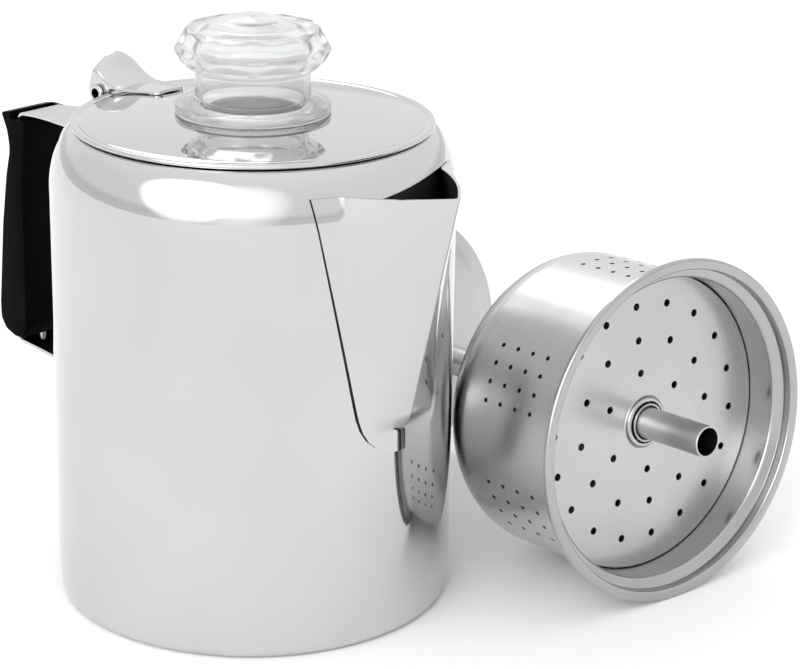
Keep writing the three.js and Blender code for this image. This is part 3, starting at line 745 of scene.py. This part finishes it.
def strap():
    corners = [(*STRAP_TOP, 0), (*STRAP_TURN, 4), (*STRAP_LOW, 4), (*STRAP_HEEL, 4), (*STRAP_TOE, 0)]
    line = filleted(corners, 8)
    lead = [(x, strap_height(x)) for x in range(-74, -118, -4)]
    rows = []
    for i, (x, z) in enumerate(lead + line[1:]):
        flare = smoothstep(x, *STRAP_FLARE_X) if z > SHOULDER_Z else 0
        half = blend(STRAP_HALF, STRAP_FLARE_HALF, flare)
        row = []
        for k in range(-STRAP_COLUMNS, STRAP_COLUMNS + 1):
            y = half * k / STRAP_COLUMNS
            reach = math.sqrt((shoulder_r(z) + STRAP_SEAT) ** 2 - y**2)
            row.append((min(x, -reach) if i < 2 else x, y, z))
        rows.append(row)
    verts, faces = grid(rows)
    piece = new_piece(
        "handle_strap_steel", verts, faces, [HANDLE_STEEL], "pot", ["handle_strap"],
    )
    thicken(piece, STRAP)
    round_edges(piece, 0.35, 60)


def grip():
    outside = [
        (-129.9, 164.2, 1.2), (-126.8, 157.5, 9), (-125.3, 150, 30), (-128, 139, 30), (-131.2, 118, 60),
        (-134.4, 84, 12), (-134.2, 77.5, 5), (-131.4, 73.2, 4), (-126, 71.1, 4),
    ]
    inside = [(-120.4, 71.1, 2.5), (-118.3, 76, 6), (-118.3, 134, 30), (-116, 158, 6), (-116.6, 165.2, 1.2)]
    outline = filleted(outside + inside + [(-124, 165.3, 6)], 8, ring=True)
    verts, faces = prism(outline, -GRIP_HALF, GRIP_HALF, side_on)
    piece = new_piece(
        "handle_grip_moulding", verts, faces, [PHENOLIC], "pot", ["handle_grip"],
    )
    round_edges(piece, 1.7, 50, 5)
    corners = [(*STRAP_TOP, 0), (*STRAP_TURN, 4), (*STRAP_LOW, 4), (*STRAP_HEEL, 0)]
    slot = sheet_ring(filleted(corners, 6), STRAP + 0.7)
    slot_half = STRAP_HALF + GRIP_SLOT_GAP
    mouth = [(-124.3, 162.3), (-110, 162.3), (-110, 170), (-124.3, 170)]
    hole = drill(Matrix.Translation((SCREW_X, 0, 72)), SCREW_HOLE_R, 12, 20)
    combine(piece, [prism(slot, -slot_half, slot_half, side_on)], "DIFFERENCE")
    combine(piece, [prism(mouth, -GRIP_HALF - 2, slot_half, side_on)], "DIFFERENCE")
    combine(piece, [hole], "DIFFERENCE")


def grip_screw():
    foot, seat = SCREW_TOP - 2.4, SCREW_TOP - 0.3
    outline = [(0, foot)] + filleted([(0.01, foot), (SCREW_HEAD_R, foot, 2), (SCREW_HEAD_R, seat)], 6)
    outline += [(SCREW_SHANK_R, seat), (SCREW_SHANK_R, SCREW_TIP - 1), (0.01, SCREW_TIP), (0, SCREW_TIP)]
    verts, faces = turned(outline, 48, ring=False)
    place = Matrix.Translation(Vector((SCREW_X, 0, 0)) * MM)
    screw = new_piece(
        "grip_screw_head", verts, faces, [SATIN_STEEL], "pot", ["grip_screw"], place,
    )
    slot = [(-4, -0.4), (4, -0.4), (4, 0.4), (-4, 0.4)]
    combine(screw, [prism(slot, SCREW_TOP - 4, SCREW_TOP - 1.7, top_on)], "DIFFERENCE")


# ---------- hinge ----------
def knuckle():
    rise = STRAP / 2 + GAP + LEAF / 2
    corners = [
        (PIN_X - KNUCKLE_R + 0.6, PIN_Z, 0),
        (LEAF_BEND_X, strap_height(LEAF_BEND_X) + rise, 2),
        (LEAF_END_X, strap_height(LEAF_END_X) + rise, 0),
    ]
    leaf = sheet_ring(filleted(corners, 8), LEAF)
    verts, faces = prism(leaf, -KNUCKLE_HALF, KNUCKLE_HALF, side_on)
    piece = new_piece(
        "hinge_knuckle_leaf", verts, faces, [HANDLE_STEEL], "pot", ["hinge_knuckle"],
    )
    combine(piece, [drill(PIN_AXIS, KNUCKLE_R, KNUCKLE_HALF, 48)], "UNION")
    combine(piece, [drill(PIN_AXIS, PIN_R + GAP, 12, 48)], "DIFFERENCE")
    round_edges(piece, 0.25, 50)


def pin():
    outline = [
        (PIN_BORE_R, -PIN_HALF, 0), (PIN_HEAD_R, -PIN_HALF, 0.4), (PIN_HEAD_R, -PIN_HALF + 0.9, 0.3),
        (PIN_R, -PIN_HALF + 1.6, 0), (PIN_R, PIN_HALF - 1.6, 0), (PIN_HEAD_R, PIN_HALF - 0.9, 0.3),
        (PIN_HEAD_R, PIN_HALF, 0.4), (PIN_BORE_R, PIN_HALF, 0),
    ]
    verts, faces = turned(filleted(outline, 4, ring=True), 64)
    place = Matrix.Translation(Vector((PIN_X, 0, PIN_Z)) * MM) @ ACROSS
    new_piece("hinge_pin_tube", verts, faces, [HANDLE_STEEL], "pot", ["hinge_pin"], place)


# (x, height) along the lower edge of the ears, round about the pin
EAR_HEEL = arc(PIN_X, PIN_Z, EAR_HEEL_R, -165, -50, 10)
EAR_EDGE = [(-79, 183), *EAR_HEEL, (-68, 181.6), (-67, 183.8), (-40, 190)]


def arm_row(x):
    """A section across the arm: hanging ears, a bend and an arched top that flattens towards the tongue."""
    fall = 1 - 0.5 * (progress(x, *ARCH_X) + smoothstep(x, *ARCH_X))
    crown = TONGUE_Z + ARCH_HEIGHT * fall + TONGUE_RISE * progress(x, *TONGUE_RISE_X)
    half = EAR_FACE - ARM_SHEET / 2 - TONGUE_NARROWING * smoothstep(x, *TONGUE_NARROWING_X)
    tip = progress(x, ARM_TIP_X - TIP_ROUND, ARM_TIP_X)
    half -= TIP_ROUND * (1 - math.sqrt(1 - (0.99 * tip) ** 2))
    bend = 0.4 + 1.4 * fall
    bend_z = crown - 3.3 * fall - 1.5 * bend
    low = min(value_at(EAR_EDGE, x), bend_z - 0.1)
    near = [(half, blend(low, bend_z, k / 6)) for k in range(6)]
    near += arc(half - bend, bend_z, bend, 0, 55, 6)
    start = near[-1]
    for k in range(1, 9):
        t = k / 8
        near.append((start[0] * (1 - t), blend(start[1], crown, 1 - (1 - t) ** 2)))
    section = near + [(-y, z) for y, z in near[-2::-1]]
    back = 1 - smoothstep(x, ARM_BACK_X, -68)
    return [(x + 3.2 * back * smoothstep(z, 181, 194), y, z) for y, z in section]


def lid_arm():
    rows = [arm_row(blend(ARM_BACK_X, ARM_TIP_X, i / ARM_ROWS)) for i in range(ARM_ROWS + 1)]
    verts, faces = grid(rows)
    piece = new_piece("lid_arm_sheet", verts, faces, [HANDLE_STEEL], "lid", ["lid_arm"])
    thicken(piece, ARM_SHEET)
    combine(piece, [drill(PIN_AXIS, PIN_R + GAP, 20, 48)], "DIFFERENCE")


# ---------- lid ----------
def lid():
    low = LID_TOP - 2 * LID_ROLL
    steps = [k / 16 for k in range(17)]
    edge_r = LID_GROOVE_R - 1.6
    dome = [(blend(LID_CROWN_R, edge_r, t), LID_CROWN - (LID_CROWN - LID_TOP) * t**2) for t in steps]
    skirt = [(LID_GROOVE_R, low, 0), (LID_SKIRT_R, low - 0.6, 0.5), (LID_SKIRT_R, LID_SKIRT_Z, 0)]
    outline = [(LID_HOLE_R, LID_CROWN), *dome, (LID_GROOVE_R - 0.7, LID_TOP - 0.14)]
    outline += [(LID_GROOVE_R, LID_TOP - 0.4), (LID_GROOVE_R + 0.6, LID_TOP - 0.15)]
    outline += arc(LID_R - LID_ROLL, LID_TOP - LID_ROLL, LID_ROLL, 90, -90, 14)
    outline += filleted(skirt, 5)
    outline += [(LID_SKIRT_R - SHEET, LID_SKIRT_Z), (LID_SKIRT_R - SHEET, LID_TOP - 2 * SHEET)]
    outline += [(r, z - SHEET) for r, z in dome[-2::-1]] + [(LID_HOLE_R, LID_CROWN - SHEET)]
    verts, faces = turned(outline)
    piece = new_piece("lid_disc", verts, faces, [POLISHED], "lid", ["lid"])
    x, y = NOTCH_HALF
    notch = filleted([(-x, -y, 1), (x, -y, 1), (x, y, 1), (-x, y, 1)], 4, ring=True)
    combine(piece, [prism(notch, LID_CROWN - 2.5, LID_CROWN + 2.5, top_on)], "DIFFERENCE")


# ---------- knob ----------
def flute(x, y, z):
    """Presses the flutes into the knob's head, fading out towards its neck and crown."""
    r = math.hypot(x, y)
    fade = smoothstep(z, *FLUTE_Z) * smoothstep(r, *FLUTE_R)
    wave = abs(math.sin(KNOB_FLUTES / 2 * math.atan2(y, x))) ** 1.4
    scale = 1 - FLUTE_DEPTH * fade * (1 - wave)
    return (x * scale, y * scale, z)


def knob():
    outside = [
        (SPIGOT_R, SPIGOT_FOOT, 0), (SPIGOT_R, KNOB_RECESS, 0), (KNOB_RECESS_R, KNOB_RECESS, 0),
        (KNOB_RECESS_R, KNOB_BASE, 0.3), (28.6, KNOB_BASE, 0.4), (28.6, 188.9, 0.8), (22.4, 189.3, 1.4),
        (21.2, 191.6, 1.6), (21.1, 201, 0.8), (24.4, 202.8, 1.2), (26.6, 204.6, 1.2),
        (28.9, 208.7, 1.6), (24.4, 217, 1.1), (21, 216.9, 1.5), (16.3, 217.2, 0.4),
    ]
    dome = arc(0, DOME_TOP - DOME_SPHERE_R, DOME_SPHERE_R, 60, 90, 12)
    cavity = [
        (0.01, 218.6, 0), (9, 217.6, 6), (15.5, 215.4, 6), (20.6, 212.8, 4), (22.3, 208.4, 4),
        (19.1, 203.6, 2.5), (18.9, 190.5, 2), (KNOB_BORE_R, 187, 2), (KNOB_BORE_R, SPIGOT_FOOT, 0),
    ]
    outline = filleted(outside, 5) + dome[:-1] + [(0.01, DOME_TOP)] + filleted(cavity, 5)
    verts, faces = turned(dense(outline, KNOB_STEP), 16 * KNOB_FLUTES, shape=flute)
    piece = new_piece("knob_clear", verts, faces, [CLEAR], "knob", ["knob"], sharp=50)
    ears = []
    for side in (1, -1):
        start, end = [side * x for x in KNOB_EAR_X]
        y = side * KNOB_EAR_HALF
        ear = filleted([(start, -y, 0.8), (end, -y, 0.8), (end, y, 0.8), (start, y, 0.8)], 4, ring=True)
        ears.append(prism(ear, *KNOB_EAR_Z, top_on))
    combine(piece, ears, "UNION", 50)


def dense(line, step):
    """The line with points added so that no two are further apart than the step."""
    points = [line[0]]
    for x, y in line[1:]:
        x0, y0 = points[-1]
        count = max(1, math.ceil(math.hypot(x - x0, y - y0) / step))
        points += [(x0 + (x - x0) * i / count, y0 + (y - y0) * i / count) for i in range(1, count + 1)]
    return points


def seal():
    low, high = LID_CROWN + GAP, LID_CROWN + GAP + SEAL_HEIGHT
    inner, outer = SEAL_R
    outline = [(inner, low, 0), (outer, low, 0.25), (outer, high, 0.25), (inner, high, 0)]
    verts, faces = turned(filleted(outline, 4, ring=True))
    new_piece("knob_seal_ring", verts, faces, [SILICONE], "knob", ["knob_seal"])


# ---------- pump, basket and spreader, laid beside the pot ----------
def infuser_place():
    """Where the upright pump is laid: its axis is the basket's slide, its height comes from the frame."""
    slide = next(j for j in frame["joints"] if j["name"] == "basket_slide")
    along = Vector(slide["axis"]).normalized()
    level = Vector((0, 0, 1)).cross(along).normalized()
    upward = along.cross(level)
    low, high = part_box("pump_tube")
    flange = (low + high) / 2 - along * ((TUBE_FOOT + TUBE_ABOVE) / 2 * MM)
    columns = Matrix((level, upward, along)).transposed().to_4x4()
    return Matrix.Translation(flange) @ columns


INFUSER_PLACE = infuser_place()


def infuser_piece(name, outline, material, body, node):
    """A turned piece of the pump, basket or spreader, from its closed outline."""
    verts, faces = turned(outline)
    return new_piece(name, verts, faces, [material], body, [node], INFUSER_PLACE)


def pump():
    tube = [
        (TUBE_BORE_R, TUBE_FOOT, 0), (TUBE_R, TUBE_FOOT, 0), (TUBE_R, TUBE_ABOVE, 0.35),
        (TUBE_BORE_R, TUBE_ABOVE, 0.35),
    ]
    tube = filleted(tube, 4, ring=True)
    pipe = infuser_piece("pump_tube_steel", tube, TUBE_STEEL, "pump", "pump_tube")
    # The tube's bore takes the near-black painted shade material
    pipe.data.materials.append(PAINTED_SHADE_INSIDE)
    for face in pipe.data.polygons:
        if face.center.xy.length < (TUBE_BORE_R + 0.1) * MM:
            face.material_index = 1
    rim = -BASE_BELOW
    crown = rim + BASE_DOME
    dish = [
        (TUBE_R + 0.35, crown, 0), (15.5, crown, 4), (46, rim + 3, 10), (50, rim + 1.4, 6),
        (BASE_R - 0.5, rim + 0.55, 0),
    ]
    dish = sheet_ring(filleted(dish, 8), BASE_SHEET)
    base = infuser_piece("pump_base_dish", dish, PLATE_STEEL, "pump", "pump_base")
    inlets = []
    for i in range(INLET_COUNT):
        a = math.radians(45 + 360 / INLET_COUNT * i)
        place = Matrix.Translation((INLET_CIRCLE_R * math.cos(a), INLET_CIRCLE_R * math.sin(a), rim))
        inlets.append(drill(place, INLET_R, 15, 24))
    combine(base, inlets, "DIFFERENCE")
    low = crown + 0.75
    ferrule = [
        (TUBE_R + GAP, low, 0), (FERRULE_R, low, 0.3), (FERRULE_R, low + 1.3, 0.5),
        (FERRULE_NECK_R, low + 3, 1), (FERRULE_NECK_R, low + 7.4, 0.8), (TUBE_R + GAP, low + 8, 0),
    ]
    ferrule = filleted(ferrule, 5, ring=True)
    infuser_piece("pump_ferrule_ring", ferrule, SATIN_STEEL, "pump", "pump_ferrule")
    high = -BASKET_DEPTH - 1.7
    low = high - STOP_HEIGHT
    stop = [(TUBE_R + GAP, low, 0), (STOP_R, low, 1.4), (STOP_R, high, 1.4), (TUBE_R + GAP, high, 0)]
    stop = filleted(stop, 6, ring=True)
    infuser_piece("tube_stop_ring", stop, SATIN_STEEL, "pump", "tube_stop")


def wall_holes():
    """Square clusters of holes round the basket's wall."""
    holes = []
    for centre in CLUSTER_ANGLES:
        for i in range(CLUSTER_GRID):
            angle = math.radians(centre + (i - (CLUSTER_GRID - 1) / 2) * CLUSTER_STEP)
            turn = Matrix.Rotation(angle, 4, "Z")
            for j in range(CLUSTER_GRID):
                lift = Matrix.Translation((BASKET_R, 0, CLUSTER_FIRST - j * CLUSTER_PITCH))
                holes.append(drill(turn @ lift @ OUTWARD, WALL_HOLE_R, 4, 12))
    return holes


def basket():
    half = BASKET_SHEET / 2
    wall = BASKET_R - half
    bottom = -BASKET_DEPTH + half
    fillet = BASKET_FILLET - half
    corners = [
        (FLANGE_R - half, -FLANGE_LIP, 0), (FLANGE_R - half, -half, 0.9), (STEP_R, -half, 1),
        (STEP_R, -STEP_DEPTH, 0.9), (wall, -STEP_DEPTH - 1.9, 1.6), (wall, bottom + fillet + 1, 0),
    ]
    line = filleted(corners, 10) + arc(wall - fillet, bottom + fillet, fillet, 0, -90, 14)
    line += [(SLEEVE_R + 0.5, bottom)]
    sheet = sheet_ring(dense(line, OUTLINE_STEP), BASKET_SHEET)
    bowl = infuser_piece("basket_bowl", sheet, WALL_STEEL, "basket", "basket")
    combine(bowl, wall_holes(), "DIFFERENCE")
    # The flange, the step and the inner wall take the smoother satin steel; its darker colour there is
    # painted shade
    bowl.data.materials.append(SATIN_STEEL)
    for face in bowl.data.polygons:
        centre = face.center / MM
        if centre.z > -STEP_DEPTH - 2 or centre.xy.length < wall:
            face.material_index = 1
    inside = -BASKET_DEPTH + BASKET_SHEET + GAP
    under = -BASKET_DEPTH - GAP
    bead = SPREADER_Z - 1.1
    sleeve = [
        (SLEEVE_BORE_R, under - 1, 0), (SLEEVE_FOOT_R, under - 1, 0.4), (SLEEVE_FOOT_R, under, 0.4),
        (SLEEVE_R - 0.1, under, 0), (SLEEVE_R - 0.1, inside, 0), (SLEEVE_FLANGE_R, inside, 0.3),
        (SLEEVE_FLANGE_R, inside + 0.8, 0.3), (SLEEVE_R, inside + 2.4, 1.2), (SLEEVE_R, bead - 2.2, 0.8),
        (SLEEVE_BEAD_R, bead - 1, 0.5), (SLEEVE_BEAD_R, bead, 0.3), (SLEEVE_R, bead, 0),
        (SLEEVE_R, SLEEVE_TOP, 0.35), (SLEEVE_BORE_R, SLEEVE_TOP, 0.35),
    ]
    sleeve = filleted(sleeve, 5, ring=True)
    infuser_piece("basket_sleeve_tube", sleeve, SATIN_STEEL, "basket", "basket_sleeve")


def spreader():
    half = SPREADER_SHEET / 2
    mid = SPREADER_Z - half
    edge = SPREADER_R - half
    corners = [
        (SLEEVE_R + 0.8, mid + 1.7, 0), (SLEEVE_R + 1.6, mid + 1.7, 0.8), (SLEEVE_R + 2.4, mid, 1.2),
        (edge, mid, 0.45), (edge, mid - 0.5, 0),
    ]
    sheet = sheet_ring(dense(filleted(corners, 8), OUTLINE_STEP), SPREADER_SHEET)
    plate = infuser_piece("spreader_disc", sheet, PLATE_STEEL, "spreader", "spreader_plate")
    holes = []
    for count, radius in SPREADER_RINGS:
        for i in range(count):
            a = math.radians(SPREADER_PHASE + 360 * i / count)
            place = Matrix.Translation((radius * math.cos(a), radius * math.sin(a), SPREADER_Z))
            holes.append(drill(place, SPREADER_HOLE_R, 3, 24))
    combine(plate, holes, "DIFFERENCE")


# ---------- studio ----------
FLOOR_HALF = 6  # metres, like the places of the lamp and the camera
# (height of a direction of the sky, brightness)
TENT = [(0, 0.82), (0.04, 0.8), (0.07, 0.76), (0.15, 0.98), (0.4, 0.98), (0.6, 1), (0.8, 1.05), (1, 1.1)]
TENT_STRENGTH = 1.03
# (direction, factor of brightness near it, cosines between which the factor comes in)
TENT_SIDES = [
    ((-0.86, -0.5, 0.08), 0.95, 0.82, 0.9),  # a greyer side
    ((0.09, -0.89, 0.44), 3.2, 0.87, 0.95),  # a large soft lamp behind the cloth
    ((0.55, -0.76, 0.35), 1.7, 0.86, 0.97),  # where its light thins out
]
LAMP_AT = (-0.85, 0.57, 1.1)
LAMP_AIM = (0, 0, 0.1)
LAMP_SIZE = 0.45
LAMP_POWER = 1.5
CAMERA_AT = (0.6568, -0.6568, 0.4176)
CAMERA_HEADING = math.radians(131.61)  # from +X towards +Y
CAMERA_PITCH = math.radians(18.913)  # below the horizon
CAMERA_ROLL = math.radians(0.868)
CAMERA_LENS = 117.24


def floor():
    mesh = bpy.data.meshes.new("floor")
    half = FLOOR_HALF
    corners = [(-half, -half, 0), (half, -half, 0), (half, half, 0), (-half, half, 0)]
    mesh.from_pydata(corners, [], [(0, 1, 2, 3)])
    ground = bpy.data.objects.new("floor", mesh)
    bpy.context.scene.collection.objects.link(ground)
    material, nodes, links, principled = shader("floor_paper", (0.9,) * 3, 0, 0.8)
    principled.inputs["Specular IOR Level"].default_value = 0.1
    grain = noise(nodes, links, 3, 2)
    links.new(tinted(nodes, links, grain, (0.89,) * 3, (0.91,) * 3), principled.inputs["Base Color"])
    mesh.materials.append(material)


def toward(nodes, links, direction, factor, start, end):
    """A value that goes from 1 to the factor as a direction of the sky nears the given one."""
    place = nodes.new("ShaderNodeTexCoord")
    dot = nodes.new("ShaderNodeVectorMath")
    dot.operation = "DOT_PRODUCT"
    dot.inputs[1].default_value = direction
    links.new(place.outputs["Generated"], dot.inputs[0])
    return ranged(nodes, links, dot.outputs["Value"], 1, factor, start, end)


def world():
    """A white tent, brightest overhead and darkest at the horizon, with a greyer side and a soft lamp."""
    sky = bpy.data.worlds.new("tent")
    bpy.context.scene.world = sky
    bpy.context.scene.view_settings.view_transform = "Standard"
    sky.use_nodes = True
    nodes, links = sky.node_tree.nodes, sky.node_tree.links
    background = nodes["Background"]
    place = nodes.new("ShaderNodeTexCoord")
    split = nodes.new("ShaderNodeSeparateXYZ")
    ramp = nodes.new("ShaderNodeValToRGB")
    band = ramp.color_ramp.elements
    band[0].position, band[0].color = 0, (TENT[0][1],) * 3 + (1,)
    band[1].position, band[1].color = 1, (TENT[-1][1],) * 3 + (1,)
    for height, value in TENT[1:-1]:
        band.new(height).color = (value, value, value, 1)
    links.new(place.outputs["Generated"], split.inputs["Vector"])
    links.new(split.outputs["Z"], ramp.inputs["Fac"])
    colour = ramp.outputs["Color"]
    for direction, factor, start, end in TENT_SIDES:
        scaled = nodes.new("ShaderNodeVectorMath")
        scaled.operation = "SCALE"
        links.new(colour, scaled.inputs[0])
        links.new(toward(nodes, links, direction, factor, start, end), scaled.inputs["Scale"])
        colour = scaled.outputs["Vector"]
    links.new(colour, background.inputs["Color"])
    background.inputs["Strength"].default_value = TENT_STRENGTH


def softbox():
    lamp = bpy.data.lights.new("softbox_top", "AREA")
    lamp.shape = "RECTANGLE"
    lamp.size = LAMP_SIZE
    lamp.size_y = LAMP_SIZE
    lamp.energy = LAMP_POWER
    box = bpy.data.objects.new("softbox_top", lamp)
    bpy.context.scene.collection.objects.link(box)
    box.location = LAMP_AT
    box.rotation_mode = "QUATERNION"
    box.rotation_quaternion = (Vector(LAMP_AIM) - Vector(LAMP_AT)).to_track_quat("-Z", "Y")


def camera():
    lens = bpy.data.cameras.new("camera")
    lens.lens = CAMERA_LENS
    lens.sensor_width = 36
    lens.clip_start = 0.05
    eye = bpy.data.objects.new("camera", lens)
    bpy.context.scene.collection.objects.link(eye)
    h, p, r = CAMERA_HEADING, CAMERA_PITCH, CAMERA_ROLL
    ahead = Vector((math.cos(h) * math.cos(p), math.sin(h) * math.cos(p), -math.sin(p)))
    right = Vector((math.sin(h), -math.cos(h), 0))
    up = right.cross(ahead)
    tilted_right = right * math.cos(r) + up * math.sin(r)
    tilted_up = up * math.cos(r) - right * math.sin(r)
    turn = Matrix((tilted_right, tilted_up, -ahead)).transposed()
    eye.matrix_world = Matrix.Translation(CAMERA_AT) @ turn.to_4x4()
    bpy.context.scene.camera = eye


pot_body()
spout()
strap()
grip()
grip_screw()
knuckle()
pin()
lid_arm()
lid()
knob()
seal()
pump()
basket()
spreader()

floor()
world()
softbox()
camera()
